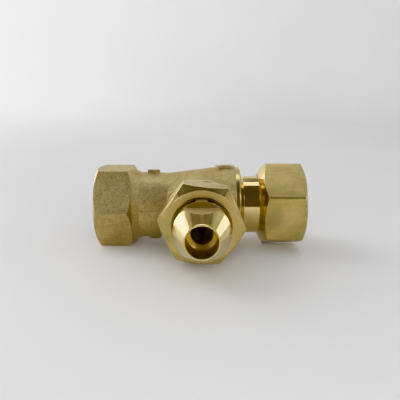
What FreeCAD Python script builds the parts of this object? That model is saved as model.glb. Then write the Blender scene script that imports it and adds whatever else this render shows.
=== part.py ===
import FreeCAD, Part
import os
import re
import Sketcher

# Tee pattern strainer, brass.  Millimetres, +Z up.
# Origin: centre of the inlet face.  The run lies along +X, the branch leaves it towards -Y.
# Turned pieces are drawn along their own X axis; branch pieces are then placed on the branch axis.

doc = FreeCAD.newDocument("Strainer")

# ---------------------------------------------------------------- driving dimensions

SIZES = {
    # cast inlet end: hexagon, then the neck
    "inlet_hex_across": 29.6,
    "inlet_hex_length": 14.3,
    "neck_start": 17.0,
    "neck_radius": 13.0,
    "neck_end": 22.0,
    "waist_position": 28.0,
    "waist_radius": 12.7,
    "swell_end": 46.0,
    "swell_radius": 15.0,
    "branch_position": 40.9,
    # outlet boss of the casting, with its turned band
    "boss_radius": 15.3,
    "band_start": 54.0,
    "boss_end": 55.9,
    "band_radius": 15.15,
    "edge_break": 0.5,
    # G 3/4 pipe thread
    "pipe_thread_minor": 12.06,
    "pipe_thread_depth": 0.8,
    "pipe_thread_pitch": 1.814,
    "pipe_thread_root": 0.12,
    "inlet_mouth": 0.3,
    "inlet_thread_start": 2.3,
    "inlet_thread_turns": 5.0,
    "inlet_socket_depth": 12.8,
    "run_bore": 8.6,
    "run_bore_start": 14.8,
    # socket for the outlet tail
    "tail_socket_radius": 10.0,
    "tail_socket_start": 49.7,
    # branch of the casting
    "branch_boss_root": 13.2,
    "branch_boss_radius": 12.6,
    "branch_boss_length": 22.8,
    "crossing_fillet_radius": 4.0,
    "collar_start": 18.4,
    "collar_slope_end": 20.2,
    "collar_radius": 13.7,
    "spigot_radius": 11.0,
    "spigot_length": 28.4,
    "chamber_radius": 9.0,
    "chamber_depth": 7.2,
    "cap_thread_depth": 0.55,
    "cap_thread_pitch": 1.0,
    "cap_thread_root": 0.12,
    "cap_thread_start": 23.6,
    "cap_thread_turns": 3.2,
    "cap_nut_turns": 4.0,
    # raised cast marks and the parting line
    "arrow_position": 19.6,
    "arrow_length": 4.8,
    "arrow_half_width": 1.9,
    "arrow_shaft_half_width": 0.9,
    "arrow_rise": 1.15,
    "plate_position": 50.2,
    "plate_length": 7.6,
    "plate_width": 5.6,
    "plate_rise": 0.55,
    "plate_step": 0.35,
    "plate_step_inset": 1.3,
    "plate_corner": 1.0,
    "plate_sink": 0.3,
    "seam_start": 14.8,
    "seam_end": 33.0,
    "seam_reach": 13.15,
    "seam_thickness": 0.45,
    # outlet tail
    "tail_start": 50.0,
    "tail_plug_radius": 9.95,
    "tail_shoulder_radius": 12.4,
    "tail_shoulder_end": 57.2,
    "tail_radius": 11.42,
    "ring_groove_start": 64.6,
    "ring_groove_width": 1.2,
    "tail_groove_radius": 10.85,
    "tail_collar_start": 67.1,
    "tail_collar_radius": 11.7,
    "tail_end": 69.6,
    "tail_bore": 8.0,
    "tail_key_across": 16.8,
    "tail_key_depth": 6.0,
    "tail_seal_groove_start": 54.4,
    "tail_seal_groove_width": 1.2,
    "tail_seal_groove_radius": 9.0,
    # seals and rings of round section
    "tail_seal_centre": 9.5,
    "tail_seal_section": 0.44,
    "wire_ring_centre": 11.4,
    "wire_ring_section": 0.5,
    "wire_ring_gap": 14.0,
    "plug_seal_centre": 8.5,
    "plug_seal_section": 0.44,
    # swivel nut
    "swivel_across": 30.0,
    "bar_corner_radius": 0.9,
    "swivel_start": 63.2,
    "swivel_end": 80.8,
    "swivel_turn": -20.2,
    "swivel_back_radius": 12.2,
    "swivel_back_hole": 11.55,
    "swivel_groove_radius": 12.0,
    "swivel_relief_start": 66.7,
    "swivel_relief_end": 72.0,
    "swivel_relief_radius": 13.3,
    "swivel_thread_start": 73.9,
    "swivel_thread_turns": 3.1,
    "swivel_mouth": 1.3,
    # outlet gasket
    "gasket_thickness": 2.0,
    "gasket_outer": 11.7,
    "gasket_inner": 8.4,
    # cap nut of the branch
    "cap_across": 27.0,
    "cap_start": 23.05,
    "cap_end": 34.2,
    "cap_face_radius": 12.7,
    "cap_turn": -6.0,
    "cap_cavity_radius": 11.1,
    "cap_lip_start": 31.4,
    "cap_corner_slope": 50.0,
    "cap_bore": 10.03,
    # blow off tail
    "plug_start": 17.6,
    "plug_stub_end": 20.0,
    "plug_stub_radius": 8.22,
    "plug_radius": 8.9,
    "plug_seal_groove_start": 22.0,
    "plug_seal_groove_width": 1.2,
    "plug_seal_groove_radius": 8.0,
    "flange_radius": 10.8,
    "flange_start": 29.2,
    "flange_end": 31.0,
    "stem_radius": 9.65,
    "flats_start": 37.6,
    "flats_half": 7.7,
    "nose_start": 42.0,
    "nose_end": 51.5,
    "nose_radius": 5.8,
    "nose_bore": 5.18,
    "nose_bore_floor": 43.0,
    "nose_cone_floor": 42.1,
    "waste_bore": 3.63,
    "plug_cup_radius": 6.4,
    "plug_cup_depth": 3.4,
    # branch gasket and thrust washer
    "branch_gasket_inner": 9.2,
    "branch_gasket_outer": 10.75,
    "washer_inner": 9.75,
    "washer_outer": 10.75,
    # screen
    "cage_clearance": 0.3,
    "cage_outer": 8.7,
    "cage_wall": 0.4,
    "cage_hole": 1.0,
    "cage_hole_spacing": 2.9,
    "cage_hole_first": 3.4,
    "cage_end_gap": 0.05,
    "window_radius": 6.6,
    "mesh_wall": 0.15,
    "mesh_gap": 0.03,
    "screen_ring_width": 2.2,
    "screen_ring_inner": 7.3,
    "end_cap_thickness": 1.2,
    "end_cap_knob_radius": 2.0,
    "end_cap_knob_rise": 1.6,
    "seam_strip_width": 2.4,
    "seam_strip_thickness": 0.2,
    # common values
    "hex_corner_slope": 30.0,
    "small_chamfer": 0.3,
    "thread_flank": 27.5,
    "thread_lead": 0.08,
    "hub_rise": 1.2,
    "overshoot": 1.0,
}

CAGE_HOLE_ROWS = 7
CAGE_HOLE_COLUMNS = 9

sheet = doc.addObject("Spreadsheet::Sheet", "Dims")
for row, (word, size) in enumerate(SIZES.items(), start=1):
    sheet.set(f"A{row}", word)
    sheet.set(f"B{row}", str(size))
    sheet.setAlias(f"B{row}", word)
doc.recompute()


def ref(text):
    """Turn bare alias words into references to the sheet."""
    return re.sub(r"[a-z]\w+(?!\w*\()", lambda found: "Dims." + found.group(0)
                  if found.group(0) in SIZES else found.group(0), text)


def value(text):
    """Number that an expression gives now."""
    result = sheet.evalExpression(ref(text))
    return float(getattr(result, "Value", result))


# ---------------------------------------------------------------- helpers

def new_body(label, branch=False, turn=None):
    """A PartDesign body; a branch body has its X axis laid along the branch."""
    body = doc.addObject("PartDesign::Body", label)
    body.Label = label
    if branch:
        lay = FreeCAD.Rotation(FreeCAD.Vector(0, 0, 1), -90)
        body.Placement = FreeCAD.Placement(FreeCAD.Vector(0, 0, 0), lay)
        body.setExpression("Placement.Base.x", ref("branch_position"))
    if turn:
        spin = FreeCAD.Rotation(FreeCAD.Vector(1, 0, 0), value(turn))
        body.Placement = body.Placement * FreeCAD.Placement(FreeCAD.Vector(0, 0, 0), spin)
    return body


def sketch_on(body, name, role, offset=None):
    """A sketch on one of the body's own origin planes, moved along axis by an expression."""
    sketch = body.newObject("Sketcher::SketchObject", name)
    support = next(item for item in body.Origin.OriginFeatures if item.Role == role)
    sketch.AttachmentSupport = [(support, "")]
    sketch.MapMode = "FlatFace"
    if offset:
        axis, text = offset
        sketch.setExpression(f"AttachmentOffset.Base.{axis}", ref(text))
    return sketch


def pin(sketch, geo, point, across, along):
    """Bind one point of the sketch to two expressions."""
    for kind, axis, text in (("DistanceX", -2, across), ("DistanceY", -1, along)):
        if text == "0":
            sketch.addConstraint(Sketcher.Constraint("PointOnObject", geo, point, axis))
            continue
        rule = Sketcher.Constraint(kind, -1, 1, geo, point, value(text))
        index = sketch.addConstraint(rule)
        sketch.setExpression(f"Constraints[{index}]", ref(text))


def outline(sketch, corners):
    """A closed outline of straight lines through corners given as expressions."""
    first = sketch.GeometryCount
    count = len(corners)
    spots = [FreeCAD.Vector(value(across), value(along), 0) for across, along in corners]
    for index in range(count):
        sketch.addGeometry(Part.LineSegment(spots[index], spots[(index + 1) % count]), False)
    for index in range(count):
        after = first + (index + 1) % count
        sketch.addConstraint(Sketcher.Constraint("Coincident", first + index, 2, after, 1))
    for index, (across, along) in enumerate(corners):
        pin(sketch, first + index, 1, across, along)


def circle(sketch, across, along, radius):
    """A circle whose centre and radius are expressions."""
    centre = FreeCAD.Vector(value(across), value(along), 0)
    shape = Part.Circle(centre, FreeCAD.Vector(0, 0, 1), value(radius))
    geo = sketch.addGeometry(shape, False)
    pin(sketch, geo, 3, across, along)
    index = sketch.addConstraint(Sketcher.Constraint("Radius", geo, value(radius)))
    sketch.setExpression(f"Constraints[{index}]", ref(radius))


def turned(body, name, corners, cut=False, axis="H_Axis", role="XY_Plane", offset=None):
    """Revolve an outline about the body's X axis (or a moved Y axis)."""
    sketch = sketch_on(body, name + "_sketch", role, offset)
    outline(sketch, corners)
    kind = "PartDesign::Groove" if cut else "PartDesign::Revolution"
    feature = body.newObject(kind, name)
    feature.Profile = sketch
    feature.ReferenceAxis = (sketch, [axis])
    feature.Angle = 360.0
    sketch.Visibility = False
    doc.recompute()
    return feature


def padded(body, name, sketch, length, midplane=False, reverse=False):
    """Pad a sketch by an expression."""
    feature = body.newObject("PartDesign::Pad", name)
    feature.Profile = sketch
    feature.Midplane = midplane
    feature.Reversed = reverse
    feature.setExpression("Length", ref(length))
    doc.recompute()
    return feature


def hexagon_outline(sketch, across):
    """Hexagon round the sketch origin with a corner on each side of the first axis."""
    corner = f"{across} / sqrt(3)"
    half = f"{across} / 2"
    outline(sketch, [
        (f"0 - {corner}", "0"),
        (f"0 - {corner} / 2", f"0 - {half}"),
        (f"{corner} / 2", f"0 - {half}"),
        (corner, "0"),
        (f"{corner} / 2", half),
        (f"0 - {corner} / 2", half),
    ])


def pocket(body, name, sketch, length, reverse=False):
    """Pocket a sketch by an expression."""
    feature = body.newObject("PartDesign::Pocket", name)
    feature.Profile = sketch
    feature.Reversed = reverse
    feature.setExpression("Length", ref(length))
    doc.recompute()
    return feature


def hexagon(body, name, across, start, length):
    """A hexagonal bar along X, with a corner on the Y axis."""
    sketch = sketch_on(body, name + "_sketch", "YZ_Plane", ("z", start))
    hexagon_outline(sketch, across)
    return padded(body, name, sketch, length)


def hexagon_chamfer(body, name, face, radius, across, inwards, slope="hex_corner_slope"):
    """Cone that takes the corners off a hexagon, from a radius at its face; inwards is 1 or -1."""
    clear = f"({across} / sqrt(3) + overshoot)"
    run = f"({clear} - {radius}) * tan({slope})"
    outside = f"{face} - ({inwards}) * overshoot"
    return turned(body, name, [
        (outside, radius),
        (face, radius),
        (f"{face} + ({inwards}) * {run}", clear),
        (outside, clear),
    ], cut=True)


def thread_groove(body, name, start, radius, depth, pitch, root, turns, offset=None,
                  axis="H_Axis", along_y=False):
    """Helical V groove; a positive depth cuts outwards from the radius."""
    half = f"({root} / 2 + abs({depth}) * tan(thread_flank))"
    lead = f"(0 - {depth}) * thread_lead"
    corners = [
        (f"{start} - {half}", f"{radius} + {lead}"),
        (f"{start} + {half}", f"{radius} + {lead}"),
        (f"{start} + {root} / 2", f"{radius} + {depth}"),
        (f"{start} - {root} / 2", f"{radius} + {depth}"),
    ]
    if along_y:
        corners = [(across, f"0 - ({along})") for along, across in corners]
    sketch = sketch_on(body, name + "_sketch", "XY_Plane", offset)
    outline(sketch, corners)
    feature = body.newObject("PartDesign::SubtractiveHelix", name)
    feature.Profile = sketch
    feature.ReferenceAxis = (sketch, [axis])
    feature.Mode = "pitch-turns-angle"
    feature.setExpression("Pitch", ref(pitch))
    feature.setExpression("Turns", ref(turns))
    feature.Reversed = along_y
    sketch.Visibility = False
    doc.recompute()
    return feature


def fillet(body, name, edges, radius):
    """Fillet edges of the body's present shape."""
    base = body.Tip
    feature = body.newObject("PartDesign::Fillet", name)
    feature.Base = (base, edges)
    feature.setExpression("Radius", ref(radius))
    doc.recompute()
    return feature


def edges_where(body, test):
    """Names of the edges of the body's tip for which test(edge) is true."""
    return [f"Edge{number}" for number, edge in enumerate(body.Tip.Shape.Edges, start=1)
            if test(edge)]


def round_corners(body):
    """Round the six corners of the hexagonal bar that the body starts from."""
    corners = edges_where(body, lambda edge: edge.BoundBox.XLength > edge.Length / 2)
    fillet(body, "rounded_corners", corners, "bar_corner_radius")


# ---------------------------------------------------------------- cast body

def make_body():
    body = new_body("tee_body")
    turned(body, "barrel", [
        ("inlet_hex_length - overshoot", "0"),
        ("inlet_hex_length - overshoot", "neck_radius + hub_rise"),
        ("inlet_hex_length", "neck_radius + hub_rise"),
        ("neck_start", "neck_radius"),
        ("neck_end", "neck_radius"),
        ("waist_position", "waist_radius"),
        ("swell_end", "swell_radius"),
        ("band_start - overshoot", "boss_radius"),
        ("band_start", "boss_radius"),
        ("band_start", "band_radius"),
        ("boss_end - edge_break", "band_radius"),
        ("boss_end", "band_radius - edge_break"),
        ("boss_end", "0"),
    ])
    turned(body, "branch_boss", [
        ("0", "0"),
        ("0 - branch_boss_root", "0"),
        ("0 - branch_boss_radius", "0 - branch_boss_length"),
        ("0", "0 - branch_boss_length"),
    ], axis="V_Axis", offset=("x", "branch_position"))
    crossing = edges_where(body, lambda edge: edge.Curve.TypeId == "Part::GeomBSplineCurve"
                           and edge.BoundBox.YMin < 0)
    fillet(body, "crossing_fillet", crossing, "crossing_fillet_radius")
    hexagon(body, "inlet_hex", "inlet_hex_across", "0", "inlet_hex_length")
    half = "inlet_hex_across / 2"
    hexagon_chamfer(body, "inlet_hex_front", "0", half, "inlet_hex_across", 1)
    hexagon_chamfer(body, "inlet_hex_back", "inlet_hex_length", half, "inlet_hex_across", -1)
    cast_marks(body)
    turned(body, "branch_collar", [
        ("0", "0 - collar_start"),
        ("branch_boss_radius", "0 - collar_start"),
        ("collar_radius", "0 - collar_slope_end"),
        ("collar_radius", "0 - (branch_boss_length - edge_break)"),
        ("collar_radius - edge_break", "0 - branch_boss_length"),
        ("0", "0 - branch_boss_length"),
    ], axis="V_Axis", offset=("x", "branch_position"))
    turned(body, "spigot", [
        ("0", "0 - (branch_boss_length - overshoot)"),
        ("spigot_radius", "0 - (branch_boss_length - overshoot)"),
        ("spigot_radius", "0 - (spigot_length - small_chamfer)"),
        ("spigot_radius - small_chamfer", "0 - spigot_length"),
        ("0", "0 - spigot_length"),
    ], axis="V_Axis", offset=("x", "branch_position"))
    turned(body, "run_bores", [
        ("0 - overshoot", "0"),
        ("0 - overshoot", "pipe_thread_minor + inlet_mouth"),
        ("0", "pipe_thread_minor + inlet_mouth"),
        ("inlet_mouth", "pipe_thread_minor"),
        ("inlet_socket_depth", "pipe_thread_minor"),
        ("run_bore_start", "run_bore"),
        ("tail_socket_start", "run_bore"),
        ("tail_socket_start", "tail_socket_radius"),
        ("boss_end + overshoot", "tail_socket_radius"),
        ("boss_end + overshoot", "0"),
    ], cut=True)
    turned(body, "chamber", [
        ("0", "chamber_depth"),
        ("chamber_radius", "chamber_depth"),
        ("chamber_radius", "0 - (spigot_length + overshoot)"),
        ("0", "0 - (spigot_length + overshoot)"),
    ], cut=True, axis="V_Axis", offset=("x", "branch_position"))
    thread_groove(body, "inlet_thread", "inlet_thread_start", "pipe_thread_minor",
                  "pipe_thread_depth", "pipe_thread_pitch", "pipe_thread_root",
                  "inlet_thread_turns")
    thread_groove(body, "cap_thread", "cap_thread_start", "spigot_radius",
                  "0 - cap_thread_depth", "cap_thread_pitch", "cap_thread_root",
                  "cap_thread_turns", offset=("x", "branch_position"), axis="V_Axis", along_y=True)
    return body


def cast_marks(body):
    """Flow arrows above and below the neck, a blank plate on the boss, the parting line."""
    tail_side = "arrow_position"
    head_side = "arrow_position + arrow_length / 2"
    point = "arrow_position + arrow_length"
    arrow = [
        (tail_side, "arrow_shaft_half_width"),
        (tail_side, "0 - arrow_shaft_half_width"),
        (head_side, "0 - arrow_shaft_half_width"),
        (head_side, "0 - arrow_half_width"),
        (point, "0"),
        (head_side, "arrow_half_width"),
        (head_side, "arrow_shaft_half_width"),
    ]
    sketch = sketch_on(body, "flow_arrows_sketch", "XY_Plane")
    outline(sketch, arrow)
    padded(body, "flow_arrows", sketch, "2 * (neck_radius + arrow_rise)", midplane=True)
    steps = (("plate", "0", "plate_rise"), ("plate_step_pad", "plate_step_inset",
                                            "plate_rise + plate_step"))
    for name, inset, rise in steps:
        sketch = sketch_on(body, name + "_sketch", "XY_Plane")
        middle = "plate_position"
        long_half = f"(plate_length / 2 - {inset})"
        wide_half = f"(plate_width / 2 - {inset})"
        cut_corner = "plate_corner"
        outline(sketch, [
            (f"{middle} - {long_half}", f"0 - ({wide_half} - {cut_corner})"),
            (f"{middle} - {long_half} + {cut_corner}", f"0 - {wide_half}"),
            (f"{middle} + {long_half} - {cut_corner}", f"0 - {wide_half}"),
            (f"{middle} + {long_half}", f"0 - ({wide_half} - {cut_corner})"),
            (f"{middle} + {long_half}", f"{wide_half} - {cut_corner}"),
            (f"{middle} + {long_half} - {cut_corner}", wide_half),
            (f"{middle} - {long_half} + {cut_corner}", wide_half),
            (f"{middle} - {long_half}", f"{wide_half} - {cut_corner}"),
        ])
        padded(body, name, sketch, f"boss_radius - plate_sink + {rise}")
    sketch = sketch_on(body, "parting_line_sketch", "XY_Plane")
    outline(sketch, [
        ("seam_start", "0 - seam_reach"),
        ("seam_end", "0 - seam_reach"),
        ("seam_end", "seam_reach"),
        ("seam_start", "seam_reach"),
    ])
    padded(body, "parting_line", sketch, "seam_thickness", midplane=True)


# ---------------------------------------------------------------- outlet side

def make_outlet_tail():
    body = new_body("outlet_tail")
    groove_end = "ring_groove_start + ring_groove_width"
    turned(body, "turning", [
        ("tail_start", "0"),
        ("tail_start", "tail_plug_radius - edge_break"),
        ("tail_start + edge_break", "tail_plug_radius"),
        ("tail_seal_groove_start", "tail_plug_radius"),
        ("tail_seal_groove_start", "tail_seal_groove_radius"),
        ("tail_seal_groove_start + tail_seal_groove_width", "tail_seal_groove_radius"),
        ("tail_seal_groove_start + tail_seal_groove_width", "tail_plug_radius"),
        ("boss_end", "tail_plug_radius"),
        ("boss_end", "tail_shoulder_radius"),
        ("tail_shoulder_end", "tail_radius"),
        ("ring_groove_start", "tail_radius"),
        ("ring_groove_start", "tail_groove_radius"),
        (groove_end, "tail_groove_radius"),
        (groove_end, "tail_radius"),
        ("tail_collar_start", "tail_radius"),
        ("tail_collar_start + edge_break / 2", "tail_collar_radius"),
        ("tail_end - edge_break / 2", "tail_collar_radius"),
        ("tail_end", "tail_collar_radius - edge_break / 2"),
        ("tail_end", "0"),
    ])
    turned(body, "bore", [
        ("tail_start - overshoot", "0"),
        ("tail_start - overshoot", "tail_bore"),
        ("tail_end + overshoot", "tail_bore"),
        ("tail_end + overshoot", "0"),
    ], cut=True)
    sketch = sketch_on(body, "key_socket_sketch", "YZ_Plane", ("z", "tail_end"))
    hexagon_outline(sketch, "tail_key_across")
    pocket(body, "key_socket", sketch, "tail_key_depth")
    return body


def make_swivel_nut():
    body = new_body("swivel_nut", turn="swivel_turn")
    hexagon(body, "bar", "swivel_across", "swivel_start", "swivel_end - swivel_start")
    round_corners(body)
    across = "swivel_across"
    hexagon_chamfer(body, "back_cone", "swivel_start", "swivel_back_radius", across, 1)
    hexagon_chamfer(body, "front_cone", "swivel_end", "swivel_across / 2", across, -1)
    groove_end = "ring_groove_start + ring_groove_width"
    mouth = "swivel_mouth"
    turned(body, "bore", [
        ("swivel_start - overshoot", "0"),
        ("swivel_start - overshoot", "swivel_back_hole"),
        ("ring_groove_start", "swivel_back_hole"),
        ("ring_groove_start", "swivel_groove_radius"),
        (groove_end, "swivel_groove_radius"),
        (groove_end, "swivel_back_hole"),
        ("swivel_relief_start", "swivel_back_hole"),
        ("swivel_relief_start", "swivel_relief_radius"),
        ("swivel_relief_end", "swivel_relief_radius"),
        ("swivel_relief_end", "pipe_thread_minor"),
        (f"swivel_end - {mouth}", "pipe_thread_minor"),
        ("swivel_end", f"pipe_thread_minor + {mouth}"),
        ("swivel_end + overshoot", f"pipe_thread_minor + {mouth}"),
        ("swivel_end + overshoot", "0"),
    ], cut=True)
    thread_groove(body, "thread", "swivel_thread_start", "pipe_thread_minor",
                  "pipe_thread_depth", "pipe_thread_pitch", "pipe_thread_root",
                  "swivel_thread_turns")
    return body


def make_outlet_gasket():
    body = new_body("outlet_gasket")
    washer(body, "tail_end", "gasket_thickness", "gasket_inner", "gasket_outer")
    return body


def washer(body, start, thickness, inner, outer):
    """Flat ring turned about the X axis."""
    turned(body, "ring", [
        (start, inner),
        (f"{start} + {thickness}", inner),
        (f"{start} + {thickness}", outer),
        (start, outer),
    ])


def make_round_ring(label, position, centre, section, branch=False, gap=None):
    """O-ring or wire ring about the X axis; a gap in degrees leaves it split."""
    body = new_body(label, branch=branch)
    sketch = sketch_on(body, "section_sketch", "XY_Plane")
    circle(sketch, position, centre, section)
    feature = body.newObject("PartDesign::Revolution", "ring")
    feature.Profile = sketch
    feature.ReferenceAxis = (sketch, ["H_Axis"])
    feature.Angle = 360.0
    if gap:
        feature.setExpression("Angle", ref(f"360 - {gap}"))
    sketch.Visibility = False
    doc.recompute()
    return body


# ---------------------------------------------------------------- branch side

def make_bonnet_nut():
    body = new_body("bonnet_nut", branch=True, turn="cap_turn")
    across = "cap_across"
    hexagon(body, "bar", across, "cap_start", "cap_end - cap_start")
    round_corners(body)
    hexagon_chamfer(body, "back_cone", "cap_start", "cap_across / 2", across, 1)
    hexagon_chamfer(body, "front_cone", "cap_end", "cap_face_radius", across, -1, "cap_corner_slope")
    turned(body, "bore", [
        ("cap_start - overshoot", "0"),
        ("cap_start - overshoot", "cap_cavity_radius"),
        ("cap_lip_start", "cap_cavity_radius"),
        ("cap_lip_start", "cap_bore"),
        ("cap_end - small_chamfer", "cap_bore"),
        ("cap_end", "cap_bore + small_chamfer"),
        ("cap_end + overshoot", "cap_bore + small_chamfer"),
        ("cap_end + overshoot", "0"),
    ], cut=True)
    thread_groove(body, "thread", "cap_start + cap_thread_pitch", "cap_cavity_radius",
                  "cap_thread_depth", "cap_thread_pitch", "cap_thread_root", "cap_nut_turns")
    return body


def make_blow_off_tail():
    body = new_body("blow_off_tail", branch=True)
    groove_end = "plug_seal_groove_start + plug_seal_groove_width"
    turned(body, "turning", [
        ("plug_start", "0"),
        ("plug_start", "plug_stub_radius"),
        ("plug_stub_end", "plug_stub_radius"),
        ("plug_stub_end", "plug_radius"),
        ("plug_seal_groove_start", "plug_radius"),
        ("plug_seal_groove_start", "plug_seal_groove_radius"),
        (groove_end, "plug_seal_groove_radius"),
        (groove_end, "plug_radius"),
        ("flange_start", "plug_radius"),
        ("flange_start", "flange_radius"),
        ("flange_end", "flange_radius"),
        ("flange_end", "stem_radius"),
        ("nose_start", "stem_radius"),
        ("nose_end - small_chamfer", "nose_radius"),
        ("nose_end", "nose_radius - small_chamfer / 2"),
        ("nose_end", "0"),
    ])
    turned(body, "waterway", [
        ("plug_start - overshoot", "0"),
        ("plug_start - overshoot", "plug_cup_radius"),
        ("plug_start + plug_cup_depth", "plug_cup_radius"),
        ("plug_start + plug_cup_depth + (plug_cup_radius - waste_bore)", "waste_bore"),
        ("nose_cone_floor", "waste_bore"),
        ("nose_bore_floor", "nose_bore"),
        ("nose_end + overshoot", "nose_bore"),
        ("nose_end + overshoot", "0"),
    ], cut=True)
    for name, side in (("upper_flat", 1), ("lower_flat", -1)):
        sketch = sketch_on(body, name + "_sketch", "XZ_Plane")
        outline(sketch, [
            ("flats_start", f"({side}) * flats_half"),
            ("nose_end + overshoot", f"({side}) * flats_half"),
            ("nose_end + overshoot", f"({side}) * (stem_radius + overshoot)"),
            ("flats_start", f"({side}) * (stem_radius + overshoot)"),
        ])
        feature = body.newObject("PartDesign::Pocket", name)
        feature.Profile = sketch
        feature.Midplane = True
        feature.setExpression("Length", ref("2 * (stem_radius + overshoot)"))
        sketch.Visibility = False
        doc.recompute()
    return body


def make_branch_gasket():
    body = new_body("branch_gasket", branch=True)
    washer(body, "spigot_length", "flange_start - spigot_length",
           "branch_gasket_inner", "branch_gasket_outer")
    return body


def make_thrust_washer():
    body = new_body("thrust_washer", branch=True)
    washer(body, "flange_end", "cap_lip_start - flange_end", "washer_inner", "washer_outer")
    return body


# ---------------------------------------------------------------- screen in the chamber

def screen_body(label):
    """A body whose X axis starts at the closed end of the screen and runs out along the branch."""
    body = new_body(label, branch=True)
    body.setExpression("Placement.Base.y", ref("chamber_depth - cage_clearance"))
    return body


def out(distance):
    """Place along a screen body for a distance from the run axis."""
    return f"({distance} + chamber_depth - cage_clearance)"


def cut_window(body):
    """Round opening in a screen wall, on the side of the inlet."""
    sketch = sketch_on(body, "window_sketch", "XZ_Plane")
    circle(sketch, "chamber_depth - cage_clearance", "0", "window_radius")
    pocket(body, "window", sketch, "chamber_radius", reverse=True)


def tube(body, start, end, inner, outer):
    """Plain tube turned about the X axis."""
    washer(body, start, f"({end} - ({start}))", inner, outer)


def make_screen_cage():
    body = screen_body("screen_cage")
    tube(body, "0", out("plug_stub_end - cage_end_gap"), "cage_outer - cage_wall", "cage_outer")
    cut_window(body)
    sketch = sketch_on(body, "hole_row_sketch", "XY_Plane")
    for row in range(CAGE_HOLE_ROWS):
        circle(sketch, f"cage_hole_first + {row} * cage_hole_spacing", "0", "cage_hole")
    first = pocket(body, "hole_row", sketch, "chamber_radius", reverse=True)
    pattern = body.newObject("PartDesign::PolarPattern", "hole_rows")
    pattern.Originals = [first]
    turning = next(item for item in body.Origin.OriginFeatures if item.Role == "X_Axis")
    pattern.Axis = (turning, [""])
    pattern.Angle = 180
    pattern.Occurrences = CAGE_HOLE_COLUMNS
    pattern.Reversed = True
    body.Tip = pattern
    doc.recompute()
    return body


def make_screen_mesh():
    body = screen_body("screen_mesh")
    outer = "cage_outer - cage_wall - mesh_gap"
    start = "end_cap_thickness + cage_clearance"
    end = out("plug_start - cage_clearance")
    tube(body, start, end, f"{outer} - mesh_wall", outer)
    cut_window(body)
    return body


def make_screen_ring(label, start):
    """Band that clamps one end of the mesh inside the cage."""
    body = screen_body(label)
    outer = "cage_outer - cage_wall - mesh_wall - 2 * mesh_gap"
    washer(body, start, "screen_ring_width", "screen_ring_inner", outer)
    return body


def make_screen_end_cap():
    body = screen_body("screen_end_cap")
    rim = "cage_outer - cage_wall - mesh_gap"
    turned(body, "disc", [
        ("0", "0"),
        ("0", rim),
        ("end_cap_thickness", rim),
        ("end_cap_thickness", "end_cap_knob_radius"),
        ("end_cap_thickness + end_cap_knob_rise", "end_cap_knob_radius"),
        ("end_cap_thickness + end_cap_knob_rise", "0"),
    ])
    return body


def make_mesh_seam():
    """Soldered overlap strip along the inside of the mesh, on the outlet side."""
    body = screen_body("mesh_seam")
    outer = "cage_outer - cage_wall - mesh_wall - 2 * mesh_gap"
    start = "end_cap_thickness + screen_ring_width + 2 * cage_clearance"
    end = out("plug_start - 2 * cage_clearance") + " - screen_ring_width"
    sketch = sketch_on(body, "strip_sketch", "XY_Plane")
    outline(sketch, [
        (start, f"{outer} - seam_strip_thickness"),
        (end, f"{outer} - seam_strip_thickness"),
        (end, outer),
        (start, outer),
    ])
    feature = body.newObject("PartDesign::Revolution", "strip")
    feature.Profile = sketch
    feature.ReferenceAxis = (sketch, ["H_Axis"])
    feature.Midplane = True
    feature.setExpression("Angle", ref("seam_strip_width / cage_outer * 180 / pi"))
    sketch.Visibility = False
    doc.recompute()
    return body


# ---------------------------------------------------------------- assembly and export

PIECES = [
    make_body(),
    make_outlet_tail(),
    make_round_ring("tail_o_ring", "tail_seal_groove_start + tail_seal_groove_width / 2",
                    "tail_seal_centre", "tail_seal_section"),
    make_round_ring("retaining_wire", "ring_groove_start + ring_groove_width / 2",
                    "wire_ring_centre", "wire_ring_section", gap="wire_ring_gap"),
    make_swivel_nut(),
    make_outlet_gasket(),
    make_bonnet_nut(),
    make_thrust_washer(),
    make_blow_off_tail(),
    make_branch_gasket(),
    make_round_ring("plug_o_ring", "plug_seal_groove_start + plug_seal_groove_width / 2",
                    "plug_seal_centre", "plug_seal_section", branch=True),
    make_screen_cage(),
    make_screen_mesh(),
    make_screen_ring("screen_back_ring", "end_cap_thickness + cage_clearance"),
    make_screen_ring("screen_front_ring", out("plug_start - cage_clearance - screen_ring_width")),
    make_screen_end_cap(),
    make_mesh_seam(),
]

doc.recompute()
for item in doc.Objects:
    if "Invalid" in item.State or "Error" in item.State:
        raise RuntimeError(f"{item.Name} did not compute: {item.State}")

os.makedirs("parts", exist_ok=True)
for piece in PIECES:
    shape = piece.Shape
    if shape.isNull() or not shape.isValid():
        raise RuntimeError(f"{piece.Label} has no valid shape")
    if len(shape.Solids) != 1:
        raise RuntimeError(f"{piece.Label} has {len(shape.Solids)} solids")
    shape.exportStep(f"parts/{piece.Label}.step")
    print(f"{piece.Label}: {shape.Volume:.1f} mm3")
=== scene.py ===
import math
import bpy
import bmesh
from mathutils import Matrix, Vector


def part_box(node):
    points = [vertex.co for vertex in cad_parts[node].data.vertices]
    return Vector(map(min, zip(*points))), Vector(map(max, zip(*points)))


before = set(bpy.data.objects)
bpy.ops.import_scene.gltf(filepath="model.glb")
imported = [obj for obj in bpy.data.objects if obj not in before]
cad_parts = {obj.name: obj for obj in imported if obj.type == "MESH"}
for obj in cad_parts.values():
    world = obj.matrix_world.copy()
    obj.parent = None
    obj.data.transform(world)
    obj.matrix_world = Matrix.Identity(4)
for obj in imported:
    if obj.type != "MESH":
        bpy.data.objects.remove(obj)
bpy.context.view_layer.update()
MM = 0.001

# ---------------------------------------------------------------- places, from the frame

NOSE_LOW, NOSE_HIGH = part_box("blow_off_tail")
BODY_LOW, BODY_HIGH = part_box("tee_body")
RUN_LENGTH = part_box("swivel_nut")[1].x
BRANCH_X = (NOSE_LOW.x + NOSE_HIGH.x) / 2
centre = Vector((RUN_LENGTH / 2, 0, 0))

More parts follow.
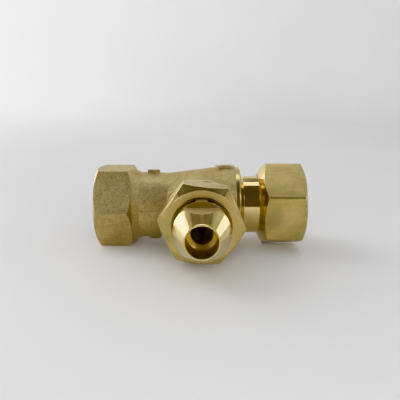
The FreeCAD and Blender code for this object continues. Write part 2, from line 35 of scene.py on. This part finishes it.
# the casting's machined parts: a band at the outlet end, the branch spigot and the bores
BAND_LENGTH = 1.95 * MM
SPIGOT_LENGTH = 7.4 * MM
CASTING_BORE = 12.3 * MM
BAND_START = BODY_HIGH.x - BAND_LENGTH
SPIGOT_START = BODY_LOW.y + SPIGOT_LENGTH

# radii inside which the polished parts are bored and duller, and given painted shade
TAIL_BORE = 8.4 * MM
NOSE_BORE = 5.3 * MM

# ---------------------------------------------------------------- node helpers

EDGE_SAMPLES = 6
EDGE_BEND = (0.995, 0.93)  # cosine of the bend at which an edge's wear starts and is full


class Tree:
    """A material's nodes, with short ways to add and join them."""

    def __init__(self, name):
        self.material = bpy.data.materials.new(name)
        self.material.use_nodes = True
        self.nodes = self.material.node_tree.nodes
        self.links = self.material.node_tree.links
        self.nodes.clear()
        self.output = self.nodes.new("ShaderNodeOutputMaterial")
        self.shader = self.nodes.new("ShaderNodeBsdfPrincipled")
        self.links.new(self.shader.outputs["BSDF"], self.output.inputs["Surface"])

    def put(self, socket, source):
        """Give a socket a value, or join another node's output to it."""
        if isinstance(source, bpy.types.NodeSocket):
            self.links.new(source, socket)
        else:
            socket.default_value = source

    def add(self, kind, **inputs):
        """A node with named inputs; returns its first output."""
        node = self.nodes.new(kind)
        for key, source in inputs.items():
            self.put(node.inputs[key], source)
        return node.outputs[0]

    def math(self, operation, first, second=0.0):
        """A sum, product, comparison or function of one or two numbers."""
        node = self.nodes.new("ShaderNodeMath")
        node.operation = operation
        self.put(node.inputs[0], first)
        self.put(node.inputs[1], second)
        return node.outputs[0]

    def place(self):
        """Place in the part's own frame: the whole vector, then x, y and z."""
        where = self.nodes.new("ShaderNodeTexCoord").outputs["Object"]
        parts = self.nodes.new("ShaderNodeSeparateXYZ")
        self.links.new(where, parts.inputs[0])
        return where, *parts.outputs

    def length(self, first, second):
        """Length of a vector with two parts."""
        squares = [self.math("MULTIPLY", side, side) for side in (first, second)]
        return self.math("SQRT", self.math("ADD", *squares))

    def noise(self, vector, scale, detail=3.0, roughness=0.5):
        """Noise from 0 to 1; scale is in features per metre."""
        return self.add("ShaderNodeTexNoise", Vector=vector, Scale=scale, Detail=detail,
                        Roughness=roughness)

    def ramp(self, source, stops):
        """Colour ramp through (position, colour) stops."""
        node = self.nodes.new("ShaderNodeValToRGB")
        self.put(node.inputs[0], source)
        band = node.color_ramp
        band.elements[0].position, band.elements[0].color = stops[0][0], (*stops[0][1], 1)
        band.elements[1].position, band.elements[1].color = stops[-1][0], (*stops[-1][1], 1)
        for position, colour in stops[1:-1]:
            band.elements.new(position).color = (*colour, 1)
        return node.outputs[0]

    def between(self, source, low, high):
        """Low where the source is 0, high where it is 1."""
        node = self.nodes.new("ShaderNodeMapRange")
        self.put(node.inputs["Value"], source)
        node.inputs["To Min"].default_value = low
        node.inputs["To Max"].default_value = high
        return node.outputs[0]

    def mix(self, factor, first, second, strength=None):
        """Mix of two colours; strength limits the share of the second."""
        if strength is not None:
            factor = self.math("MULTIPLY", factor, strength)
        node = self.nodes.new("ShaderNodeMix")
        node.data_type = "RGBA"
        self.put(node.inputs[0], factor)
        for index, colour in ((6, first), (7, second)):
            self.put(node.inputs[index],
                     colour if isinstance(colour, bpy.types.NodeSocket) else (*colour, 1))
        return node.outputs[2]

    def mix_value(self, factor, first, second):
        """Mix of two numbers."""
        node = self.nodes.new("ShaderNodeMix")
        self.put(node.inputs[0], factor)
        self.put(node.inputs[2], first)
        self.put(node.inputs[3], second)
        return node.outputs[0]

    def spread(self, source, low, high):
        """0 where the source is low and 1 where it is high, never outside these."""
        node = self.nodes.new("ShaderNodeMapRange")
        self.put(node.inputs["Value"], source)
        node.inputs["From Min"].default_value = low
        node.inputs["From Max"].default_value = high
        return node.outputs[0]

    def facing(self, axis):
        """How squarely the surface faces along the x, y or z axis, 0 to 1."""
        normal = self.nodes.new("ShaderNodeNewGeometry").outputs["Normal"]
        parts = self.nodes.new("ShaderNodeSeparateXYZ")
        self.links.new(normal, parts.inputs[0])
        return self.math("ABSOLUTE", parts.outputs["XYZ".index(axis)])

    def round_edges(self, radius):
        """Normal that rounds sharp edges over a radius, and a mask of those edges."""
        bevel = self.nodes.new("ShaderNodeBevel")
        bevel.samples = EDGE_SAMPLES
        bevel.inputs["Radius"].default_value = radius
        soft = bevel.outputs[0]
        node = self.nodes.new("ShaderNodeVectorMath")
        node.operation = "DOT_PRODUCT"
        self.links.new(soft, node.inputs[0])
        self.links.new(self.nodes.new("ShaderNodeNewGeometry").outputs["Normal"], node.inputs[1])
        return soft, self.spread(node.outputs["Value"], *EDGE_BEND)

    def bump(self, height, distance, strength=1.0, normal=None):
        """Normal bumped by a height from 0 to 1, over a distance in metres."""
        node = self.nodes.new("ShaderNodeBump")
        self.put(node.inputs["Height"], height)
        node.inputs["Distance"].default_value = distance
        node.inputs["Strength"].default_value = strength
        if normal is not None:
            self.put(node.inputs["Normal"], normal)
        return node.outputs[0]

    def finish(self, colour, roughness, normal=None, metallic=1.0):
        """Join the results to the shader; returns the material."""
        self.put(self.shader.inputs["Base Color"], colour)
        self.put(self.shader.inputs["Roughness"], roughness)
        self.shader.inputs["Metallic"].default_value = metallic
        if normal is not None:
            self.put(self.shader.inputs["Normal"], normal)
        return self.material


def around_axis(tree, branch):
    """(place, along, radius) sockets about the branch axis or the run axis."""
    where, x, y, z = tree.place()
    if branch:
        return where, y, tree.length(tree.math("SUBTRACT", x, BRANCH_X), z)
    return where, x, tree.length(y, z)


# ---------------------------------------------------------------- materials

BRASS_LIGHT = (0.72, 0.575, 0.26)
BRASS_MID = (0.64, 0.495, 0.195)
BRASS_DARK = (0.50, 0.38, 0.135)
BRASS_WORN = (0.84, 0.71, 0.40)
BRASS_POLISHED = (0.80, 0.66, 0.33)
# painted shade for the inside of bores
BORE_PAINTED_SHADE = (0.56, 0.40, 0.12)
BRASS_OLIVE = (0.36, 0.31, 0.13)
TARNISH = (0.20, 0.13, 0.045)
BLASTED_DARK = (0.50, 0.38, 0.15)
BLASTED_MID = (0.60, 0.47, 0.20)
BLASTED_LIGHT = (0.70, 0.56, 0.27)
STEEL_PALE = (0.66, 0.66, 0.65)

# how squarely a surface faces along an axis, 0 to 1
CONE_FACING = 0.25  # above this, a nut's surface is turned: a cone or an end face
END_FACING = 0.95  # above this, it is an end face
FLAT_FACING = 0.98  # above this, the nose's surface is a milled flat

# radii over which edges look rounded
CAST_EDGE = 0.4 * MM
RUN_NUT_EDGE = 0.42 * MM
BRANCH_NUT_EDGE = 0.30 * MM
SMALL_BRASS_EDGE = 0.12 * MM
POLISHED_EDGE = 0.18 * MM
STEEL_EDGE = 0.1 * MM

# how far marks are drawn out along a tool's path: 1 is not at all
DRAWN_BAR = 0.12
CUTTER_PATH = 0.15

MESH_PITCH = 0.5 * MM


def cast_brass():
    """Blasted casting, with machined bores and the turned band at the outlet end."""
    tree = Tree("cast_brass")
    where, x, y, z = tree.place()
    broad = tree.noise(where, scale=85.0, detail=2.0)
    blotch = tree.noise(where, scale=420.0)
    grain = tree.noise(where, scale=1500.0, roughness=0.6)
    specks = tree.noise(where, scale=2600.0, detail=1.0)
    blotch_share = 0.55
    tone = tree.mix_value(blotch_share, broad, blotch)
    colour = tree.ramp(tone, [(0.3, BLASTED_DARK), (0.5, BLASTED_MID), (0.7, BLASTED_LIGHT)])
    hollow = tree.spread(grain, low=0.46, high=0.34)
    colour = tree.mix(hollow, colour, TARNISH, strength=0.5)
    glint = tree.spread(specks, low=0.60, high=0.72)
    colour = tree.mix(glint, colour, BRASS_WORN, strength=0.6)
    rough = tree.between(grain, low=0.34, high=0.60)

    run_radius = tree.length(y, z)
    band = tree.math("GREATER_THAN", x, BAND_START)
    bore = tree.math("LESS_THAN", run_radius, CASTING_BORE)
    spigot = tree.math("LESS_THAN", y, SPIGOT_START)
    machined = tree.math("MAXIMUM", tree.math("MAXIMUM", band, bore), spigot)
    rings = tree.noise(tree.add("ShaderNodeCombineXYZ", X=x, Y=run_radius),
                       scale=5200.0, detail=2.0)
    colour = tree.mix(machined, colour, tree.mix(rings, BRASS_MID, BRASS_LIGHT))
    rough = tree.mix_value(machined, rough, tree.between(rings, low=0.20, high=0.32))

    edges, edge = tree.round_edges(CAST_EDGE)
    colour = tree.mix(edge, colour, BRASS_WORN, strength=0.35)
    blotch_height, ring_height = 0.5, 0.06
    height = tree.math("ADD", grain, tree.math("MULTIPLY", blotch, blotch_height))
    depth = tree.mix_value(machined, height, tree.math("MULTIPLY", rings, ring_height))
    normal = tree.bump(depth, distance=0.26 * MM, strength=0.85, normal=edges)
    return tree.finish(colour, rough, normal)


def machined_brass(name, branch, edge_radius):
    """Hexagon bar: drawn streaks and pits on its flats, lathe rings on its cones and faces."""
    tree = Tree(name)
    where, _, radius = around_axis(tree, branch)
    facing = tree.facing("Y" if branch else "X")
    turned = tree.math("GREATER_THAN", facing, CONE_FACING)
    cone = tree.math("SUBTRACT", turned, tree.math("GREATER_THAN", facing, END_FACING))

    stretch = (1, DRAWN_BAR, 1) if branch else (DRAWN_BAR, 1, 1)
    drawn = tree.add("ShaderNodeMapping", Vector=where, Scale=stretch)
    streaks = tree.noise(drawn, scale=1100.0, roughness=0.55)
    rings = tree.noise(tree.add("ShaderNodeCombineXYZ", X=radius), scale=5200.0, roughness=0.6)
    marks = tree.mix_value(turned, streaks, rings)
    broad = tree.noise(where, scale=150.0)
    satin = tree.noise(where, scale=2400.0, detail=2.0)
    pits = tree.spread(tree.noise(where, scale=1500.0, detail=1.0), low=0.69, high=0.74)
    pitted = tree.math("MULTIPLY", pits, tree.math("SUBTRACT", 1.0, turned))
    smudge = tree.spread(tree.noise(where, scale=80.0), low=0.50, high=0.68)

    marks_share, satin_share = 0.35, 0.4
    colour = tree.ramp(tree.mix_value(marks_share, broad, marks),
                       [(0.3, BRASS_DARK), (0.5, BRASS_MID), (0.75, BRASS_LIGHT)])
    colour = tree.mix(pitted, colour, TARNISH, strength=0.45)
    colour = tree.mix(smudge, colour, BRASS_OLIVE, strength=0.55)

    edge_rough = 0.12
    rough = tree.between(tree.mix_value(satin_share, broad, satin), low=0.28, high=0.42)
    rough = tree.mix_value(cone, rough, tree.between(rings, low=0.10, high=0.17))
    edges, edge = tree.round_edges(edge_radius)
    rough = tree.mix_value(edge, rough, edge_rough)

    marks_height, pit_depth = 0.5, 1.6
    height = tree.math("ADD", tree.math("MULTIPLY", marks, marks_height), satin)
    height = tree.math("SUBTRACT", height, tree.math("MULTIPLY", pitted, pit_depth))
    normal = tree.bump(height, distance=0.010 * MM, normal=edges)
    return tree.finish(colour, rough, normal)


def polished_brass(name, branch, bore_radius):
    """Lathe-turned and polished, with faint feed marks; bores and milled flats are duller, and
    bores carry painted shade.
    """
    tree = Tree(name)
    where, along, radius = around_axis(tree, branch)
    marks = tree.noise(tree.add("ShaderNodeCombineXYZ", X=along, Y=radius),
                       scale=4200.0, detail=2.0)
    broad = tree.noise(where, scale=150.0, detail=2.0)
    colour = tree.ramp(broad, [(0.3, BRASS_MID), (0.55, BRASS_LIGHT), (0.75, BRASS_POLISHED)])
    rough = tree.between(marks, low=0.07, high=0.13)
    marks_height = 0.5
    height = tree.math("MULTIPLY", marks, marks_height)

    inside = tree.math("LESS_THAN", radius, bore_radius)
    # painted shade: inside the bore the colour is darker and more orange, for the shade and
    # repeated reflections there; the rougher finish is real
    colour = tree.mix(inside, colour, BORE_PAINTED_SHADE, strength=0.7)
    rough = tree.mix_value(inside, rough, tree.between(marks, low=0.22, high=0.34))
    if branch:
        flat = tree.math("GREATER_THAN", tree.facing("Z"), FLAT_FACING)
        sweep = tree.add("ShaderNodeMapping", Vector=where, Scale=(CUTTER_PATH, 1, 1))
        cutter = tree.noise(sweep, scale=2600.0, detail=2.0)
        rough = tree.mix_value(flat, rough, tree.between(cutter, low=0.38, high=0.58))
        height = tree.mix_value(flat, height, cutter)

    edges, edge = tree.round_edges(POLISHED_EDGE)
    colour = tree.mix(edge, colour, BRASS_WORN, strength=0.4)
    normal = tree.bump(height, distance=0.006 * MM, strength=0.8, normal=edges)
    return tree.finish(colour, rough, normal)


def rubber(name, dark, light):
    """Moulded rubber with a dusty bloom."""
    tree = Tree(name)
    where = tree.place()[0]
    bloom = tree.noise(where, scale=700.0)
    grain = tree.noise(where, scale=4000.0, detail=2.0)
    colour = tree.ramp(bloom, [(0.35, dark), (0.7, light)])
    rough = tree.between(bloom, low=0.55, high=0.8)
    normal = tree.bump(grain, distance=0.02 * MM, strength=0.5)
    return tree.finish(colour, rough, normal, metallic=0.0)


def steel(name, dark, light, rough_low, rough_high):
    """Drawn or rolled stainless steel, or solder."""
    tree = Tree(name)
    marks = tree.noise(tree.place()[0], scale=1400.0)
    colour = tree.ramp(marks, [(0.3, dark), (0.7, light)])
    edges, _ = tree.round_edges(STEEL_EDGE)
    normal = tree.bump(marks, distance=0.005 * MM, strength=0.8, normal=edges)
    return tree.finish(colour, tree.between(marks, rough_low, rough_high), normal)


def wire_cloth(name, dark, light, pitch):
    """Fine stainless cloth about the branch axis: wires round it and along it."""
    tree = Tree(name)
    where, x, y, z = tree.place()
    _, _, radius = around_axis(tree, branch=True)
    turn = tree.math("ARCTAN2", z, tree.math("SUBTRACT", x, BRANCH_X))
    spacing = 2 * math.pi / pitch
    arc = tree.math("MULTIPLY", turn, radius)
    warp = tree.math("SINE", tree.math("MULTIPLY", arc, spacing))
    weft = tree.math("SINE", tree.math("MULTIPLY", y, spacing))
    wires = tree.spread(tree.math("MAXIMUM", warp, weft), low=-0.6, high=1.0)
    marks = tree.noise(where, scale=1400.0)
    wire = tree.ramp(marks, [(0.3, light), (0.7, STEEL_PALE)])
    normal = tree.bump(wires, distance=0.06 * MM, strength=0.8)
    rough = tree.between(marks, low=0.28, high=0.42)
    # painted shade: the gaps between the wires are coloured dark, for the shade seen through the
    # openings
    return tree.finish(tree.mix(wires, dark, wire), rough, normal)


FINISHES = {
    "tee_body": cast_brass(),
    "outlet_tail": polished_brass("polished_brass_run", branch=False, bore_radius=TAIL_BORE),
    "swivel_nut": machined_brass("machined_brass_run", branch=False, edge_radius=RUN_NUT_EDGE),
    "bonnet_nut": machined_brass("machined_brass_branch", branch=True,
                                 edge_radius=BRANCH_NUT_EDGE),
    "blow_off_tail": polished_brass("polished_brass_branch", branch=True, bore_radius=NOSE_BORE),
    "tail_o_ring": rubber("black_rubber", dark=(0.012, 0.012, 0.013), light=(0.03, 0.03, 0.03)),
    "outlet_gasket": rubber("gasket_rubber", dark=(0.03, 0.032, 0.03),
                            light=(0.075, 0.078, 0.072)),
    "retaining_wire": steel("spring_steel", dark=(0.30, 0.30, 0.31), light=(0.46, 0.46, 0.46),
                            rough_low=0.25, rough_high=0.4),
    "screen_cage": steel("stainless_steel", dark=(0.42, 0.42, 0.41), light=(0.60, 0.60, 0.59),
                         rough_low=0.22, rough_high=0.38),
    # the screen mesh's dark colour is painted shade in the gaps between its wires
    "screen_mesh": wire_cloth("stainless_mesh", dark=(0.05, 0.05, 0.05),
                              light=(0.52, 0.52, 0.51), pitch=MESH_PITCH),
    "mesh_seam": steel("solder", dark=(0.36, 0.36, 0.37), light=(0.55, 0.55, 0.56),
                       rough_low=0.3, rough_high=0.5),
    "thrust_washer": machined_brass("plain_brass", branch=True, edge_radius=SMALL_BRASS_EDGE),
}
# nodes that share another node's finish
SHARED = {
    "plug_o_ring": "tail_o_ring",
    "branch_gasket": "outlet_gasket",
    "screen_back_ring": "thrust_washer",
    "screen_front_ring": "thrust_washer",
    "screen_end_cap": "thrust_washer",
}

for name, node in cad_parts.items():
    finish = FINISHES[SHARED.get(name, name)]
    node.data.materials.clear()
    node.data.materials.append(finish)

# ---------------------------------------------------------------- floor


def lower_edge(points):
    """Lower convex outline of (x, z) points, left to right."""
    hull = []
    for point in sorted(points):
        while len(hull) > 1:
            (ax, az), (bx, bz) = hull[-2], hull[-1]
            if (bx - ax) * (point[1] - az) - (bz - az) * (point[0] - ax) > 0:
                break
            hull.pop()
        hull.append(point)
    return hull


def resting_line():
    """The two (x, z) points on which the part rests, either side of its middle."""
    points = {(vertex.co.x, vertex.co.z)
              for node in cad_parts.values() for vertex in node.data.vertices}
    hull = lower_edge(points)
    for left, right in zip(hull, hull[1:]):
        if left[0] <= RUN_LENGTH / 2 <= right[0]:
            return left, right
    return hull[0], hull[-1]


def stage_object(name, shape, material):
    """Turn a bmesh into a staged object that isn't part of the strainer."""
    mesh = bpy.data.meshes.new(name)
    shape.to_mesh(mesh)
    shape.free()
    mesh.materials.append(material)
    obj = bpy.data.objects.new(name, mesh)
    bpy.context.scene.collection.objects.link(obj)
    return obj


FLOOR_RADIUS = 1.6
FLOOR_CORNER = 0.5
FLOOR_WALL = 1.25
FLOOR_INNER = (0.15, 0.5)
FLOOR_TURNS = 96
CORNER_STEPS = 16


def floor_outline():
    """(radius, height) points of the bowl: flat floor, soft corner, low wall."""
    flat = FLOOR_RADIUS - FLOOR_CORNER
    outline = [(radius, 0.0) for radius in (*FLOOR_INNER, flat)]
    for step in range(1, CORNER_STEPS + 1):
        turn = math.pi / 2 * step / CORNER_STEPS
        outline.append((flat + FLOOR_CORNER * math.sin(turn),
                        FLOOR_CORNER - FLOOR_CORNER * math.cos(turn)))
    return outline + [(FLOOR_RADIUS, FLOOR_WALL)]


def surround(left, right):
    """Pale studio bowl, whose floor passes through the two resting points."""
    shape = bmesh.new()
    middle = shape.verts.new((0, 0, 0))
    rows = []
    for radius, height in floor_outline():
        rows.append([shape.verts.new((radius * math.cos(2 * math.pi * turn / FLOOR_TURNS),
                                      radius * math.sin(2 * math.pi * turn / FLOOR_TURNS),
                                      height))
                     for turn in range(FLOOR_TURNS)])
    for index in range(FLOOR_TURNS):
        following = (index + 1) % FLOOR_TURNS
        shape.faces.new((middle, rows[0][index], rows[0][following]))
    for near, far in zip(rows, rows[1:]):
        for index in range(FLOOR_TURNS):
            following = (index + 1) % FLOOR_TURNS
            shape.faces.new((near[index], far[index], far[following], near[following]))
    for face in shape.faces:
        face.smooth = True
    obj = stage_object("surround", shape, paper())
    slope = math.atan2(right[1] - left[1], right[0] - left[0])
    obj.matrix_world = (Matrix.Translation(Vector((left[0], 0, left[1])))
                        @ Matrix.Rotation(-slope, 4, "Y"))


def paper():
    """Pale paper with a very faint tone."""
    tree = Tree("paper")
    tone = tree.noise(tree.place()[0], scale=3.0, detail=2.0)
    colour = tree.ramp(tone, [(0.3, (0.80, 0.795, 0.79)), (0.7, (0.83, 0.825, 0.82))])
    tree.shader.inputs["Specular IOR Level"].default_value = 0.2
    return tree.finish(colour, roughness=0.55, metallic=0.0)


surround(*resting_line())

# ---------------------------------------------------------------- camera

LENS = 43.2
SENSOR = 36.0
NEAREST = 0.01
VIEW_DISTANCE = 194.65 * MM
VIEW_ELEVATION = math.radians(12.69)
AIM_LEFT = 0.1 * MM
AIM_RISE = 1.65 * MM

camera_data = bpy.data.cameras.new("camera")
camera_data.lens = LENS
camera_data.sensor_width = SENSOR
camera_data.clip_start = NEAREST
camera = bpy.data.objects.new("camera", camera_data)
bpy.context.scene.collection.objects.link(camera)
forward = Vector((0, math.cos(VIEW_ELEVATION), -math.sin(VIEW_ELEVATION)))
upward = Vector((0, math.sin(VIEW_ELEVATION), math.cos(VIEW_ELEVATION)))
middle = Vector((RUN_LENGTH / 2 - AIM_LEFT, 0, 0))
camera.location = middle + upward * AIM_RISE - forward * VIEW_DISTANCE
camera.rotation_euler = forward.to_track_quat("-Z", "Y").to_euler()
bpy.context.scene.camera = camera

# ---------------------------------------------------------------- light

COOL = (0.92, 0.98, 1.22)  # takes some yellow out of the brass's highlights, as in the photo
WHITE = (1, 1, 1)
ROOM_COLOUR = (0.93, 0.94, 0.96, 1)
ROOM_STRENGTH = 0.57


def softbox(name, offset, size, power, only, target=centre):
    """Flat lamp at an offset from the part's middle, facing a target.

    It is only seen in reflections (and is cool), or only lights matt surfaces.
    """
    data = bpy.data.lights.new(name, "AREA")
    data.shape = "RECTANGLE"
    data.size, data.size_y = size
    data.energy = power
    data.color = COOL if only == "gloss" else WHITE
    obj = bpy.data.objects.new(name, data)
    bpy.context.scene.collection.objects.link(obj)
    obj.location = centre + Vector(offset)
    obj.rotation_euler = (target - obj.location).to_track_quat("-Z", "Y").to_euler()
    obj.visible_glossy = only == "gloss"
    obj.visible_diffuse = only == "matt"


softbox("overhead", offset=(0.0, 0.235, 1.0), size=(1.9, 0.37), power=4.1, only="gloss",
        target=centre + Vector((0.0, 0.235, 0)))
softbox("left_back", offset=(-0.95, 0.75, 0.30), size=(0.6, 0.50), power=5.0, only="gloss")
softbox("right_back", offset=(1.05, 0.62, 0.22), size=(0.32, 0.45), power=1.1, only="gloss")
softbox("left_front", offset=(-0.95, -0.8, 0.72), size=(0.5, 0.5), power=3.0, only="gloss")
softbox("right_front", offset=(0.80, -0.95, 0.80), size=(0.4, 0.4), power=1.6, only="gloss")
softbox("back_strip", offset=(0.0, 0.74, 1.0), size=(0.24, 0.34), power=0.20, only="gloss")
softbox("key", offset=(-1.0, 0.25, 0.9), size=(0.8, 0.8), power=3.9, only="matt")
softbox("fill", offset=(0.1, -1.0, 0.30), size=(1.2, 0.4), power=8.0, only="matt")
softbox("backdrop", offset=(-1.15, 0.8, 0.7), size=(0.5, 0.5), power=7.5, only="matt",
        target=Vector((-0.7, 1.7, 0.3)))

world = bpy.data.worlds.new("world")
bpy.context.scene.world = world
world.use_nodes = True
world.node_tree.nodes["Background"].inputs["Color"].default_value = ROOM_COLOUR
world.node_tree.nodes["Background"].inputs["Strength"].default_value = ROOM_STRENGTH
bpy.context.scene.view_settings.view_transform = "Khronos PBR Neutral"

# ---------------------------------------------------------------- painted shade over the part: a dark sheet for the unlit room

CANOPY_RADIUS = 1.35
CANOPY_COLUMNS = 48
CANOPY_ROWS = 26
CANOPY_FOOT = -1.0  # degrees above level
CANOPY_TOP_FROM = 44.0  # degrees above level; higher up the sheet goes all the way round
CANOPY_FRONT_HALF = 28.0  # degrees each side of the front, where it comes down to its foot


def painted_room_shade():
    """Painted shade of the unlit room: a dark sheet, paler towards the back."""
    tree = Tree("painted_room_shade")
    where, _, y, _ = tree.place()
    uneven_shade = tree.noise(where, scale=4.0)
    # painted shade: the sheet is dark at the front and paler towards the back, standing in for
    # the unlit room
    dark = tree.ramp(uneven_shade, [(0.3, (0.085, 0.067, 0.048)), (0.7, (0.125, 0.098, 0.07))])
    pale = tree.ramp(uneven_shade, [(0.3, (0.30, 0.28, 0.24)), (0.7, (0.38, 0.36, 0.32))])
    colour = tree.mix(tree.spread(y, low=0.35, high=0.75), dark, pale)
    return tree.finish(colour, roughness=0.9, metallic=0.0)


def canopy_elevation(row):
    """Degrees above level of a row of the canopy's grid."""
    return CANOPY_FOOT + (90 - CANOPY_FOOT) * row / CANOPY_ROWS


def canopy():
    """Painted shade of the unlit upper and front part of the studio: a dark sheet seen only in
    the polished surfaces.
    """
    shape = bmesh.new()

    def corner(column, row):
        azimuth = math.radians(-90 + column * 360 / CANOPY_COLUMNS)
        elevation = math.radians(canopy_elevation(row))
        level = CANOPY_RADIUS * math.cos(elevation)
        return shape.verts.new((level * math.cos(azimuth), level * math.sin(azimuth),
                                CANOPY_RADIUS * math.sin(elevation)))

    grid = [[corner(column, row) for column in range(CANOPY_COLUMNS)]
            for row in range(CANOPY_ROWS)]
    top = shape.verts.new((0, 0, CANOPY_RADIUS))
    for row in range(CANOPY_ROWS):
        for column in range(CANOPY_COLUMNS):
            turn = (column + 0.5) * 360 / CANOPY_COLUMNS
            from_front = min(turn, 360 - turn)
            if canopy_elevation(row) < CANOPY_TOP_FROM and from_front > CANOPY_FRONT_HALF:
                continue
            following = (column + 1) % CANOPY_COLUMNS
            foot = (grid[row][column], grid[row][following])
            if row == CANOPY_ROWS - 1:
                shape.faces.new((*foot, top))
            else:
                shape.faces.new((*foot, grid[row + 1][following], grid[row + 1][column]))
    obj = stage_object("canopy", shape, painted_room_shade())
    obj.location = centre
    obj.visible_camera = False
    obj.visible_diffuse = False
    obj.visible_shadow = False


canopy()
